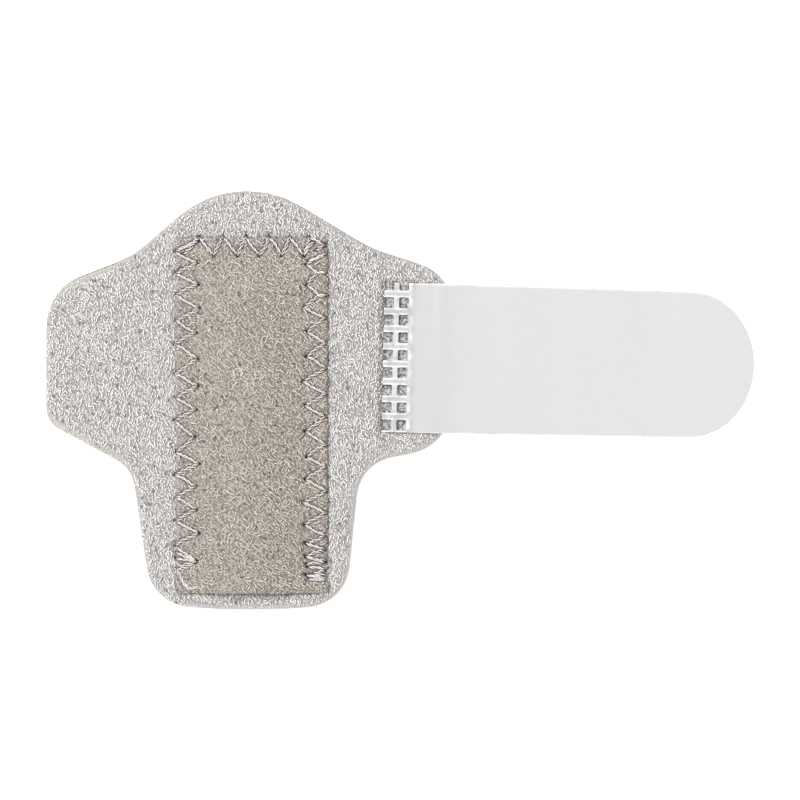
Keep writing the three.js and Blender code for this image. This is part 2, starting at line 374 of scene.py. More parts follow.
class Finish(Graph):
    """A material, read on the object's own coordinates in metres."""

    def __init__(self, name):
        self.material = bpy.data.materials.new(name)
        self.material.use_nodes = True
        super().__init__(self.material.node_tree)
        self.tree.nodes.clear()
        self.place = self.node("ShaderNodeTexCoord", output="Object")

    def mix(self, share, first, second, blend="MIX"):
        """A blend of two colours. A colour is three numbers or a Value."""
        def full(colour):
            return colour if isinstance(colour, Value) else (*colour, 1.0)

        return self.node(
            "ShaderNodeMix",
            {"data_type": "RGBA", "blend_type": blend},
            {0: share, 6: full(first), 7: full(second)},
            output=2,
        )

    def attribute(self, name):
        return self.node("ShaderNodeAttribute", {"attribute_name": name}, output="Fac")

    def facing(self):
        """The way the surface faces, its X part first."""
        normal = self.node("ShaderNodeTexCoord", output="Normal")
        return self.node("ShaderNodeSeparateXYZ", None, {0: normal})

    def windowward(self):
        """1 on sides that face the upper left of the photo, 0 on those that face away."""
        facing = self.facing()
        return ((facing.output("Y") - facing) * 0.7).step(-0.7, 0.5)

    def upward(self):
        """1 where the surface faces straight up, 0 where it stands upright."""
        return self.facing().output("Z")

    def streaks(self, angle, across, along, waver, seed):
        """Short strokes lying at an angle in degrees, so many metres wide and long."""
        wander = self.noise(self.place, 420.0, 1.0, output="Color")
        bend = self.scaled(self.vector("SUBTRACT", wander, (0.5, 0.5, 0.5)), waver)
        turned = self.node(
            "ShaderNodeMapping",
            {"vector_type": "TEXTURE"},
            {
                "Vector": self.vector("ADD", self.place, bend),
                "Location": (seed * 0.37, seed * 0.71, 0.0),
                "Rotation": (0.0, 0.0, math.radians(angle)),
                "Scale": (along / 0.6, across / 0.6, across / 0.6),
            },
        )
        return self.noise(turned, 1.0, 1.5, 0.55)

    def finish(self, colour, roughness, height=None, relief=0.0, **sockets):
        """The closing shader, with a bump of so many metres."""
        values = {"Base Color": colour if isinstance(colour, Value) else (*colour, 1.0)}
        values["Roughness"] = roughness
        if height is not None:
            values["Normal"] = self.node(
                "ShaderNodeBump", None, {"Strength": 1.0, "Distance": relief, "Height": height}
            )
        values.update({name.replace("_", " "): value for name, value in sockets.items()})
        shader = self.node("ShaderNodeBsdfPrincipled", None, values)
        self.node("ShaderNodeOutputMaterial", None, {"Surface": shader})
        return self.material


class Recipe(Graph):
    """A Geometry Nodes tree with named inputs."""

    KINDS = {float: "NodeSocketFloat", int: "NodeSocketInt", bpy.types.Material: "NodeSocketMaterial"}

    def __init__(self, name, **inputs):
        super().__init__(bpy.data.node_groups.new(name, "GeometryNodeTree"))
        faces = self.tree.interface
        faces.new_socket("Geometry", in_out="INPUT", socket_type="NodeSocketGeometry")
        faces.new_socket("Geometry", in_out="OUTPUT", socket_type="NodeSocketGeometry")
        self.values = {}
        for label, value in inputs.items():
            title = label.replace("_", " ").capitalize()
            kind = self.KINDS[type(value)]
            socket = faces.new_socket(title, in_out="INPUT", socket_type=kind)
            self.values[socket.identifier] = value
        entry = self.tree.nodes.new("NodeGroupInput")
        self.base = Value(self, entry.outputs["Geometry"])
        self.entry = entry

    def given(self, label):
        return Value(self, self.entry.outputs[label.replace("_", " ").capitalize()])

    def random(self, low, high, seed):
        return self.node(
            "FunctionNodeRandomValue", {"data_type": "FLOAT"}, {2: low, 3: high, 8: seed}, output=1
        )

    def random_whole(self, low, high, seed):
        return self.node(
            "FunctionNodeRandomValue", {"data_type": "INT"}, {4: low, 5: high, 8: seed}, output=2
        )

    def attribute(self, name):
        return self.node("GeometryNodeInputNamedAttribute", {"data_type": "FLOAT"}, {"Name": name})

    def evenly(self, size):
        """The same size in all three directions."""
        return self.node("ShaderNodeCombineXYZ", None, {0: size, 1: size, 2: size})

    def spun(self, axis, angle):
        return self.node("FunctionNodeAxisAngleToRotation", None, {"Axis": axis, "Angle": angle})

    def ring(self, sides, radius):
        return self.node(
            "GeometryNodeCurvePrimitiveCircle",
            {"mode": "RADIUS"},
            {"Resolution": sides, "Radius": radius},
        )

    def tube(self, line, ring):
        """A closed tube along a line, with the ring as its section."""
        return self.node(
            "GeometryNodeCurveToMesh",
            None,
            {"Curve": line, "Profile Curve": ring, "Fill Caps": True},
        )

    def make(self, geometry, base, name):
        """Runs the recipe on an object and gives the result as a plain mesh object."""
        shown = self.node("GeometryNodeRealizeInstances", None, {"Geometry": geometry})
        coated = self.node(
            "GeometryNodeSetMaterial", None, {"Geometry": shown, "Material": self.given("finish")}
        )
        self.tree.links.new(coated.socket, self.tree.nodes.new("NodeGroupOutput").inputs[0])
        modifier = base.modifiers.new("recipe", "NODES")
        modifier.node_group = self.tree
        for identifier, value in self.values.items():
            modifier[identifier] = value
        ready = base.evaluated_get(bpy.context.evaluated_depsgraph_get())
        mesh = bpy.data.meshes.new_from_object(ready)
        base.modifiers.remove(modifier)
        mesh.name = name
        mesh.polygons.foreach_set("use_smooth", np.ones(len(mesh.polygons), dtype=bool))
        return placed(name, mesh)


# Strap frame

strap_low, strap_high = box_mm("hook_strap")
ALONG = np.array([math.cos(STRAP_TURN), -math.sin(STRAP_TURN)])
ACROSS = np.array([math.sin(STRAP_TURN), math.cos(STRAP_TURN)])
STRAP_ROOT = np.array([
    strap_low[0] + STRAP_WIDTH / 2 * math.sin(STRAP_TURN),
    strap_high[1] - STRAP_WIDTH / 2 * math.cos(STRAP_TURN),
])


def in_strap(points):
    """Places along and across the strap of points seen from above."""
    aside = points[:, :2] - STRAP_ROOT
    return aside @ ALONG, aside @ ACROSS


def web_underside(along):
    risen = smooth(along, WELD_LENGTH, HOOK_START)
    dropped = smooth(along, DROP_START, DROP_END)
    return WELD_BED + (OVER_WING - WELD_BED) * risen - (OVER_WING - HOOK_HEIGHT) * dropped


def strap_half(along):
    share = np.clip(along / STRAP_LENGTH, 0, 1)
    straight = (STRAP_WIDTH + (STRAP_TIP_WIDTH - STRAP_WIDTH) * share) / 2
    into_tip = np.clip((along - TIP_START) / STRAP_TIP_LENGTH, 0, 1)
    return straight * np.sqrt(1 - into_tip ** 2)


# Pocket frame

pocket_low, pocket_high = box_mm("stay_pocket")
POCKET_LEFT, POCKET_MOUTH = pocket_low[:2]
POCKET_RIGHT, POCKET_CROWN = pocket_high[:2]
POCKET_MIDDLE = (POCKET_LEFT + POCKET_RIGHT) / 2
POCKET_HALF = (POCKET_RIGHT - POCKET_LEFT) / 2


# Stitching

def seam_holes(start, step_list, inner_shift):
    """Places along a zigzag line: its outer needle holes, and the inner ones between them."""
    outer = start + np.concatenate([[0], np.cumsum(step_list)])
    inner = (outer[:-1] + outer[1:]) / 2 + inner_shift
    return outer, inner


def zigzag(outer, inner):
    """The stitches of a zigzag from its outer and inner needle holes, in turn."""
    holes = [hole for pair in zip(outer, inner) for hole in pair] + list(outer[len(inner):])
    return list(zip(holes, holes[1:]))


def side_seam(outer_x, inner_x, steps, first, seed, pinched=()):
    """A zigzag line down one side of the pocket, as measured step by step in mm.

    At the pinched outer holes the two stitches are drawn together before they reach the hole.
    """
    rng = np.random.default_rng(seed)
    outer, inner = seam_holes(first, steps, 0.1)
    out = [(outer_x + rng.uniform(-0.14, 0.14), POCKET_CROWN - d) for d in outer]
    into = [(inner_x + rng.uniform(-0.4, 0.4), POCKET_CROWN - d) for d in inner]
    seam = zigzag(out, into)
    for number in pinched:
        hole = out[number]
        knot = (hole[0] + 0.42 * (inner_x - outer_x), hole[1])
        for place, stitch in enumerate(seam):
            if hole in stitch:
                seam[place] = (stitch[0], knot, stitch[-1])
    return seam


LEFT_STEPS = [3.6, 3.6, 4.2, 4.0, 4.8, 4.1, 3.8, 5.3, 3.7, 3.8, 4.0, 3.8]
RIGHT_STEPS = [3.2, 3.7, 3.8, 4.2, 4.2, 4.2, 3.8, 4.7, 3.7, 4.0, 3.7, 3.7]
TOP_OUTER = [3.9, 7.9, 11.65, 15.5, 19.0, 22.2]
TOP_INNER = [6.3, 10.2, 13.9, 17.6, 21.3]

left_outer = POCKET_LEFT - 0.05
left_inner = POCKET_LEFT + 3.35
right_outer = POCKET_RIGHT - 0.25
right_inner = POCKET_RIGHT - 3.7
stitches = side_seam(left_outer, left_inner, LEFT_STEPS, 2.4, 3)
stitches += side_seam(right_outer, right_inner, RIGHT_STEPS, 2.75, 4, pinched=(1, 2))
stitches += zigzag(
    [(POCKET_LEFT + x, POCKET_CROWN + 0.05) for x in TOP_OUTER],
    [(POCKET_LEFT + x, POCKET_CROWN - 3.0) for x in TOP_INNER],
)

# Single stitches, both holes as mm to the right of the pocket's left edge and mm below its top

# Overlapping stitches at the pocket's two upper corners
CORNER_STITCHES = [
    (0.0, 2.2, 3.8, 0.25),
    (0.25, 2.0, 3.6, 0.65),
    (1.2, 2.8, 3.0, 0.9),
    (22.2, 0.0, 24.6, 1.4),
    (23.3, 2.2, 24.7, 1.2),
    (22.0, 3.9, 24.8, 2.7),
    (21.3, 2.8, 23.0, 0.6),
]
# Back-tack fan at the lower left corner
BACK_TACK = [
    (0.15, 51.6, 3.2, 53.8),
    (0.1, 52.5, 3.25, 53.7),
    (0.0, 53.5, 3.1, 54.0),
    (0.1, 55.3, 3.2, 53.9),
    (0.35, 55.4, 3.3, 54.1),
]
# Bar-tack at the lower right corner
BAR_TACK = [
    (24.7, 49.7, 21.9, 51.0),
    (21.6, 50.9, 24.6, 51.9),
    (24.6, 52.2, 21.7, 53.1),
    (21.6, 53.2, 24.7, 53.8),
    (24.7, 54.2, 21.8, 54.4),
    (22.0, 54.9, 24.8, 55.3),
    (24.7, 55.5, 22.6, 56.2),
    (24.2, 55.3, 23.1, 56.5),
    (22.4, 56.4, 24.8, 56.2),
    (21.7, 56.2, 24.9, 56.9),
    (24.9, 57.2, 22.0, 57.0),
]
stitches += [
    ((POCKET_LEFT + x0, POCKET_CROWN - down0), (POCKET_LEFT + x1, POCKET_CROWN - down1))
    for x0, down0, x1, down1 in CORNER_STITCHES + BACK_TACK + BAR_TACK
]

rng = np.random.default_rng(11)
stitch_lines = []
for stitch in stitches:
    corners = np.array(stitch)
    run = corners[-1] - corners[0]
    sideways = np.array([-run[1], run[0]]) / np.linalg.norm(run)
    lengths = np.linalg.norm(np.diff(corners, axis=0), axis=1)
    corner_share = np.concatenate([[0], np.cumsum(lengths)]) / lengths.sum()
    share = np.linspace(0, 1, max(8, int(lengths.sum() / 0.14)))
    path = np.column_stack([np.interp(share, corner_share, corners[:, axis]) for axis in (0, 1)])
    bow = rng.uniform(-0.16, 0.16)
    bend = bow * np.sin(math.pi * share) + 0.04 * np.sin(share * 9 + bow * 40)
    stitch_lines.append(path + bend[:, None] * sideways)


def needle_holes():
    """The open side of each needle hole, just past where the thread goes in."""
    pulls = {}
    for stitch in stitches:
        for hole, beside in ((stitch[0], stitch[1]), (stitch[-1], stitch[-2])):
            way = np.array(hole) - np.array(beside)
            pulls.setdefault(hole, []).append(way / np.linalg.norm(way))
    places = []
    for hole, ways in pulls.items():
        way = np.mean(ways, axis=0)
        places.append(np.array(hole) + 0.2 * way / np.linalg.norm(way))
    return np.array(places)


holes = needle_holes()

# Loose tail of the back-tack's thread
TAIL = [(0.25, 55.4), (0.6, 56.3), (1.1, 57.4), (1.75, 58.2), (2.5, 58.55), (3.5, 58.2)]
tail_corners = np.array([(POCKET_LEFT + x, POCKET_CROWN - d) for x, d in TAIL])
tail_at = np.linspace(0, len(TAIL) - 1, 46)
tail_line = np.column_stack([
    np.interp(tail_at, range(len(TAIL)), tail_corners[:, axis]) for axis in (0, 1)
])
for _ in range(6):
    tail_line[1:-1] = (tail_line[:-2] + 2 * tail_line[1:-1] + tail_line[2:]) / 4


def nearest(places, points):
    """How far each point lies from the nearest of some places, seen from above."""
    tree = KDTree(len(places))
    for index, (x, y) in enumerate(places):
        tree.insert((x, y, 0.0), index)
    tree.balance()
    return np.array([tree.find((x, y, 0.0))[2] for x, y in points[:, :2]])


thread_places = np.vstack(stitch_lines)


def pull_of_thread(points):
    """How far the stitches draw the cloth down: a groove under each, a dimple at each hole."""
    groove = np.exp(-((nearest(thread_places, points) / 0.32) ** 2))
    dimple = np.exp(-((nearest(holes, points) / 0.36) ** 2))
    return 0.24 * groove + 0.4 * dimple


def hole_shade(points, top):
    """Painted shade: how dark the cloth is made round the needle holes and in the crease beside the
    thread.
    """
    hole = np.exp(-((nearest(holes, points) / 0.26) ** 6))
    crease = np.exp(-(((nearest(thread_places, points) - 0.2) / 0.17) ** 2))
    return np.where(top, np.maximum(hole, 0.5 * crease), 0.0)


def with_seams(outline, step, fine_step, clearance, seed):
    """Points inside an outline, closer together along the stitches."""
    def near(points):
        return nearest(thread_places, points) <= 0.6

    coarse = scattered(outline, step, clearance, seed, lambda points: ~near(points))
    return np.vstack([coarse, scattered(outline, fine_step, 0.08, seed + 1, near)])


# Pocket

def pocket_hollow(points):
    across = np.clip(np.abs(points[:, 0] - POCKET_MIDDLE) / (POCKET_HALF - SEAM_WIDTH), 0, 1)
    below_seam = POCKET_CROWN - SEAM_WIDTH - points[:, 1]
    return POCKET_HOLLOW * (1 - across ** 2) ** 2 * smooth(below_seam, 0, HOLLOW_RUN)


def pocket_skin(points):
    """The pocket's upper surface before the stitches draw it down."""
    aside = POCKET_HALF - np.abs(points[:, 0] - POCKET_MIDDLE)
    below = POCKET_CROWN - points[:, 1]
    sewn = np.minimum(aside, below)
    wall = POCKET_WALL - SEAM_SQUEEZE * (1 - smooth(sewn, SEAM_WIDTH / 2, SEAM_WIDTH * 1.5))
    edge = np.minimum(sewn, points[:, 1] - POCKET_MOUTH)
    turned = np.clip(1 - edge / CUT_ROUND, 0, 1)
    rounded = CUT_ROUND * (1 - np.sqrt(1 - turned ** 2))
    swell = 0.05 * ripple(points, 7.0, 5) + 0.03 * ripple(points, 2.6, 6)
    return FACE_TOP + pocket_hollow(points) + wall - rounded + swell * smooth(edge, 0, 1)


def pocket_top(points):
    return pocket_skin(points) - pull_of_thread(points)


def pocket_bottom(points):
    return FACE_TOP + pocket_hollow(points)


def pocket_outline():
    """The patch as cut: two rounded corners at its crown and edges a little uneven."""
    corners = []
    for centre_x, from_angle in ((POCKET_RIGHT - 1.0, 0), (POCKET_LEFT + 1.0, 90)):
        for angle in np.radians(np.linspace(from_angle, from_angle + 90, 9)):
            corners.append((centre_x + math.cos(angle), POCKET_CROWN - 1.0 + math.sin(angle)))
    corners += [(POCKET_LEFT, POCKET_MOUTH + 0.3), (POCKET_LEFT + 0.3, POCKET_MOUTH)]
    corners += [(POCKET_RIGHT - 0.3, POCKET_MOUTH), (POCKET_RIGHT, POCKET_MOUTH + 0.3)]
    outline = even_outline(np.array(corners), 0.25, 0.12)
    return outline + outward(outline) * (0.05 * ripple(outline, 4.0, 8))[:, None]


patch_outline = pocket_outline()
patch_rings = inner_rings(patch_outline, (0.07, 0.18, 0.36))
patch_rings = patch_rings[depth_inside(patch_outline, patch_rings) > 0.03]
patch_rings = patch_rings[nearest(thread_places, patch_rings) > 0.6]
patch_inner = with_seams(patch_outline, 0.33, 0.17, 0.45, 21)


# Where the pocket's rim colour goes: its cut walls and a band at the edge of its top; that colour is
# painted lighter where the sides face away from the window.
def patch_rim(points, top):
    return np.where(top, 1 - smooth(depth_inside(patch_outline, points), 0.05, 0.4), 1.0)


def patch_nap(points, top):
    bare = smooth(nearest(thread_places, points), 0.25, 0.6)
    return np.where(top, bare, 0.0)


stay_pocket = layer_object(
    "stay_pocket_cloth",
    patch_outline,
    np.vstack([patch_rings, patch_inner]),
    scattered(patch_outline, 0.9, 0.5, 22),
    pocket_top,
    pocket_bottom,
    [(0.33, 0.03), (0.7, 0.03)],
    {
        "nap": patch_nap,
        "rim": patch_rim,
        "hole": hole_shade,
    },
)

# Face fabric

face_outline = even_outline(cut_outline("face_fabric", FOAM_TOP), 0.3, 0.45)


def face_top(points):
    edge = depth_inside(face_outline, points)
    turned = np.clip(1 - edge / EDGE_ROLL, 0, 1)
    height = FACE_TOP - ROLL_DROP * (1 - np.sqrt(1 - turned ** 2))
    along, across = in_strap(points)
    aside = np.maximum(np.abs(across) - strap_half(np.clip(along, 0, None)) - 0.15, 0)
    outside = np.hypot(aside, np.maximum(-0.15 - along, 0))
    bed = np.clip(FACE_TOP - (web_underside(along) - 0.05), 0, None) * (along < HOOK_START)
    height -= bed * (1 - smooth(outside, 0.0, 0.5))
    calm = smooth(outside, 0.3, 2.0) * smooth(edge, 0.2, 1.5)
    under_patch = depth_inside(patch_outline, points)
    calm *= smooth(-under_patch, 0.0, 2.0)
    height += calm * (0.05 * ripple(points, 6.0, 31) + 0.03 * ripple(points, 2.3, 32))
    return height - 0.8 * pull_of_thread(points) * (under_patch < 0.1)


def face_nap(points, top):
    edge = depth_inside(face_outline, points)
    along, across = in_strap(points)
    off_strap = (along < -0.1) | (np.abs(across) > strap_half(np.clip(along, 0, STRAP_LENGTH)) + 0.05)
    off_patch = depth_inside(patch_outline, points) < -0.05
    share = 0.4 + 0.6 * smooth(edge, 0.2, 0.6)
    return np.where(top & off_strap & off_patch & (edge > 0.12), share, 0.0)


# Where the face's rim colour goes: its cut walls and a band round the edge of its top; that colour is
# painted lighter where the sides face away from the window.
def face_rim(points, top):
    return np.where(top, 1 - smooth(depth_inside(face_outline, points), 0.3, 0.8), 1.0)


face_rings = inner_rings(face_outline, (0.05, 0.14, 0.28, 0.46, 0.7))
face_inner = with_seams(face_outline, 0.44, 0.22, 0.85, 41)
face_fabric = layer_object(
    "face_fabric_cloth",
    face_outline,
    np.vstack([face_rings, face_inner]),
    scattered(face_outline, 2.0, 0.8, 42),
    face_top,
    level(FOAM_TOP),
    [(0.5, 0.02)],
    {
        "nap": face_nap,
        "rim": face_rim,
        "hole": hole_shade,
    },
)

# Foam, its sides swollen between the two skins and its pores open at the cut

foam_outline = even_outline(cut_outline("foam_core", LINING_TOP), 0.3, 0.45)
foam_core = layer_object(
    "foam_core_pad",
    foam_outline,
    scattered(foam_outline, 2.4, 0.8, 51),
    scattered(foam_outline, 2.4, 0.8, 52),
    level(FOAM_TOP - LAYER_GAP),
    level(LINING_TOP + LAYER_GAP),
    [(0.08, 0.02), (0.25, 0.09), (0.5, 0.12), (0.75, 0.09), (0.92, 0.02)],
)

# Lining

lining_outline = even_outline(cut_outline("back_lining", LINING_TOP), 0.35, 0.45)


def lining_bottom(points):
    edge = depth_inside(lining_outline, points)
    return 0.2 * np.clip(1 - edge / 0.2, 0, 1) ** 2


lining_rings = inner_rings(lining_outline, (0.08, 0.2, 0.5))
back_lining = layer_object(
    "back_lining_cloth",
    lining_outline,
    scattered(lining_outline, 2.0, 0.8, 61),
    np.vstack([lining_rings, scattered(lining_outline, 1.2, 0.9, 62)]),
    level(LINING_TOP - LAYER_GAP),
    lining_bottom,
    [(0.5, 0.03)],
)

# Hook strap

dent_middles = [DENT_START + column * DENT_COLUMN_PITCH for column in range(DENT_COLUMNS)]
dent_rows = [DENT_RAISE + ((DENT_ROWS - 1) / 2 - row) * DENT_ROW_PITCH for row in range(DENT_ROWS)]


def dent_depth(along, across):
    """How deep the weld's dents lie at places on the strap, and how much shadow is painted along their
    left and top walls.
    """
    depth = np.zeros_like(along)
    char = np.zeros_like(along)
    shadow_strength = np.random.default_rng(77).uniform(0.25, 1.0, (DENT_ROWS, DENT_COLUMNS, 2))
    for row, middle_across in enumerate(dent_rows):
        for column, middle_along in enumerate(dent_middles):
            aside_along = np.abs(along - middle_along)
            aside_across = np.abs(across - middle_across)
            if column == 0:
                aside_along = np.where(along < middle_along, 0.0, aside_along)
            if row == 0:
                aside_across = np.where(across > middle_across, 0.0, aside_across)
            reach_along = np.maximum(aside_along - DENT_HALF_LENGTH + DENT_CORNER, 0)
            reach_across = np.maximum(aside_across - DENT_HALF_WIDTH + DENT_CORNER, 0)
            outside = np.hypot(reach_along, reach_across) - DENT_CORNER
            depth = np.maximum(depth, 1 - smooth(outside, -0.09, 0.05))
            from_left = (along - middle_along) / DENT_HALF_LENGTH + 1
            from_top = 1 - (across - middle_across) / DENT_HALF_WIDTH
            # Painted shadow along each dent's left and top walls, where the window's light doesn't
            # reach; it is stronger in some dents than in others, at random.
            wall_shadow = shadow_strength[row, column, 0] * np.exp(-np.abs(from_left) / 0.3)
            wall_shadow = wall_shadow + shadow_strength[row, column, 1] * np.exp(-np.abs(from_top) / 0.3)
            char = np.maximum(char, wall_shadow * (outside < 0.1))
    return depth, np.clip(char, 0, 1)


def edge_lines(middles, half, low, high):
    """Grid lines between low and high, close together along both edges of each dent."""
    near = np.array([-0.14, -0.09, -0.055, -0.02, 0.015, 0.05, 0.1])
    lines = np.arange(low, high, 0.19)
    edges = np.array([middle + side * half for middle in middles for side in (-1, 1)])
    lines = lines[np.abs(lines[:, None] - edges).min(axis=1) > 0.17]
    lines = np.concatenate([lines, (edges[:, None] + near).ravel()])
    return np.unique(np.round(lines[(lines >= low) & (lines <= high)], 4))


weld_places = edge_lines(dent_middles, DENT_HALF_LENGTH, 0.0, 6.0)
body_places = np.linspace(6.0, TIP_START, 62)
tip_places = TIP_START + STRAP_TIP_LENGTH * np.sin(np.radians(np.linspace(3, 89, 26)))
stations = np.concatenate([weld_places, body_places, tip_places])
edge_places = np.array([0.0, 0.03, 0.08, 0.15])
side_columns = -STRAP_WIDTH / 2 + edge_places
columns = np.concatenate([
    side_columns,
    edge_lines(dent_rows, DENT_HALF_WIDTH, -STRAP_WIDTH / 2 + 0.25, STRAP_WIDTH / 2 - 0.25),
    -side_columns[::-1],
]) / (STRAP_WIDTH / 2)

along_grid = np.repeat(stations[:, None], len(columns), axis=1)
across_grid = columns[None] * strap_half(stations)[:, None]
from_edge = np.minimum(
    (1 - np.abs(columns))[None] * STRAP_WIDTH / 2 * np.ones_like(along_grid),
    along_grid + 0.06,
)
rounded_edge = 0.15 * (1 - np.sqrt(1 - np.clip(1 - from_edge / 0.15, 0, 1) ** 2))
flat_grid = np.column_stack([along_grid.ravel(), across_grid.ravel()])
dent, char = dent_depth(along_grid, across_grid)
in_weld = 1 - smooth(along_grid, 4.4, 5.4)
molten = 0.05 * ripple(flat_grid, 1.3, 71).reshape(along_grid.shape)
beside_dent = 0.5 + 0.5 * np.cos((across_grid - DENT_RAISE) * 2 * math.pi / DENT_ROW_PITCH)
lumps = 0.02 + 0.08 * beside_dent * (0.6 + 8 * np.abs(molten))
bead = np.exp(-(((along_grid - 4.5) / 0.28) ** 2)) * lumps
bars = (1 - dent) * in_weld * (0.05 + molten * 0.8)
wave = 0.02 * ripple(flat_grid, 14.0, 72).reshape(along_grid.shape)
under_grid = web_underside(along_grid) + rounded_edge * 0.6 + wave
over_grid = web_underside(along_grid) + WEB - rounded_edge + wave
over_grid = over_grid + bead + bars - DENT_DEPTH * dent + molten * dent * 0.4
plan = STRAP_ROOT + along_grid[..., None] * ALONG + across_grid[..., None] * ACROSS
upper = np.concatenate([plan, over_grid[..., None]], axis=2)
lower = np.concatenate([plan, under_grid[..., None]], axis=2)
rings = np.concatenate([lower, upper[:, ::-1]], axis=1)
ring_size = rings.shape[1]
place = np.arange(rings.shape[0] * ring_size).reshape(rings.shape[:2])
around = np.roll(place, -1, axis=1)
quads = np.stack([place[:-1], around[:-1], around[1:], place[1:]], axis=2).reshape(-1, 4)
strap_faces = [quads[:, [0, 2, 1]], quads[:, [0, 3, 2]]]
low_row = np.arange(len(columns))
high_row = ring_size - 1 - low_row
cap = np.vstack([
    np.column_stack([low_row[:-1], low_row[1:], high_row[1:]]),
    np.column_stack([low_row[:-1], high_row[1:], high_row[:-1]]),
])
strap_faces += [cap, cap[:, ::-1] + place[-1, 0]]
from_row = (across_grid - DENT_RAISE + DENT_ROW_PITCH / 2) % DENT_ROW_PITCH - DENT_ROW_PITCH / 2
from_row = np.abs(from_row)
# Painted highlights on the weld: on the bars beside each dent row, on the ragged ridge at the weld's
# inner end, and along the strap's edges and side walls.
lip_highlight = np.where(
    from_row > DENT_HALF_WIDTH - 0.05,
    1 - smooth(from_row, DENT_HALF_WIDTH + 0.16, DENT_HALF_WIDTH + 0.36),
    0.3,
)
lip_highlight = lip_highlight * (1 - smooth(along_grid, 3.9, 4.2)) * (1 - dent)
ragged = 0.10 * ripple(flat_grid, 0.8, 73).reshape(along_grid.shape)
ridge_highlight = np.exp(-(((along_grid + ragged - 4.5) / 0.34) ** 2)) * (0.15 + 0.85 * beside_dent ** 2)
edge_highlight = 1 - smooth(from_edge, 0.04, 0.22)
bright = np.clip(np.maximum(np.maximum(lip_highlight, ridge_highlight), edge_highlight), 0, 1)
melt = np.concatenate([np.zeros_like(dent), dent[:, ::-1]], axis=1)
corner_shading = np.concatenate([np.zeros_like(dent), char[:, ::-1]], axis=1)
highlight_share = np.concatenate([edge_highlight, bright[:, ::-1]], axis=1)
weld_zone = np.concatenate([np.zeros_like(dent), in_weld[:, ::-1]], axis=1)
hook_strap = mesh_object(
    "hook_strap_web",
    rings.reshape(-1, 3),
    np.vstack(strap_faces),
    {
        "melt": melt.ravel(),
        "weld": weld_zone.ravel(),
        "char": corner_shading.ravel(),
        "bright": highlight_share.ravel(),
    },
)

# Finishes


def pile_finish(name, deep, light, angles, width, length, hole=True, rim=None):
    """Brushed loop pile: pale strokes over a darker ground, lying in drifting directions."""
    cloth = Finish(name)
    first = cloth.streaks(angles[0], width, length, 0.0007, 1).step(0.42, 0.62)
    second = cloth.streaks(angles[1], width, length, 0.0007, 2).step(0.42, 0.62)
    drift = cloth.noise(cloth.place, 260.0, 1.0).step(0.4, 0.6)
    strokes = first * (1 - drift) + second * drift
    fuzz = cloth.noise(cloth.place, 3200.0, 1.0, 0.6)
    height = strokes * 0.75 + fuzz * 0.25
    # Painted shade: the low parts of the stroke pattern take the deep colour, the high parts the light
    # one.
    colour = cloth.mix(height.step(0.1, 0.85), deep, light)
    tint = cloth.noise(cloth.place, 900.0, 1.0, output="Color")
    colour = cloth.mix(0.10, colour, tint, "OVERLAY")
    # Painted light on the rim: its colour is made 1.7 times lighter on sides that face away from the
    # window, lifting their shade.
    if rim is not None:
        side = cloth.mix(cloth.windowward(), tuple(1.7 * part for part in rim), rim)
        colour = cloth.mix(cloth.attribute("rim") * 0.8, colour, side)
    # Painted shade round the needle holes and in the creases beside the thread.
    if hole:
        colour = cloth.mix(cloth.attribute("hole"), colour, (0.03, 0.025, 0.025))
    return cloth.finish(colour, 0.95, height, 0.00022, Specular_IOR_Level=0.15)


def fibre_finish(name, shades, deep):
    """Single pile fibres, each a little lighter, darker, pinker or greener than the next."""
    fibre = Finish(name)
    tone = fibre.attribute("tone")
    stops = [(0.05 + 0.95 * i / (len(shades) - 1), shade) for i, shade in enumerate(shades)]
    # A few fibres are near black: painted shade standing for the deep gaps in the pile.
    stops.insert(0, (0.045, tuple(0.8 * part for part in deep)))
    colour = fibre.node("ShaderNodeValToRGB", {"stops": stops}, {"Fac": tone})
    # Painted shade: each fibre's sides, which face away from straight up, are darkened towards the deep
    # colour.
    flank_shade = fibre.upward().step(0.95, 0.55)
    colour = fibre.mix(flank_shade * 0.9, colour, deep)
    return fibre.finish(colour, 0.85, Specular_IOR_Level=0.2)


face_finish = pile_finish(
    "face_pile", (0.29, 0.276, 0.269), (0.55, 0.526, 0.512), (80, 130), 0.00020, 0.00036,
    rim=(0.39, 0.372, 0.367),
)
patch_finish = pile_finish(
    "pocket_pile", (0.225, 0.20, 0.177), (0.405, 0.363, 0.323), (-48, -62), 0.00020, 0.00036,
    rim=(0.32, 0.285, 0.255),
)
face_fibre_finish = fibre_finish(
    "face_fibres",
    [
        (0.84, 0.815, 0.795), (0.90, 0.86, 0.845), (0.885, 0.915, 0.85), (0.95, 0.865, 0.87),
        (0.94, 0.92, 0.91),
    ],
    (0.25, 0.238, 0.231),
)
patch_fibre_finish = fibre_finish(
    "pocket_fibres",
    [
        (0.59, 0.53, 0.47), (0.65, 0.59, 0.525), (0.66, 0.63, 0.54), (0.72, 0.645, 0.58),
        (0.79, 0.73, 0.66),
    ],
    (0.18, 0.16, 0.142),
)
patch_loop_finish = fibre_finish(
    "pocket_loops",
    [(0.52, 0.48, 0.42), (0.62, 0.58, 0.51), (0.68, 0.63, 0.56), (0.80, 0.75, 0.68), (0.94, 0.89, 0.83)],
    (0.20, 0.175, 0.155),
)

foam = Finish("foam_cells")
cells = foam.node(
    "ShaderNodeTexVoronoi",
    {"feature": "DISTANCE_TO_EDGE"},
    {"Vector": foam.place, "Scale": 3200.0, "Randomness": 1.0},
)
cell_walls = 1 - cells.step(0.02, 0.22)
stain = foam.noise(foam.place, 300.0, 2.0)
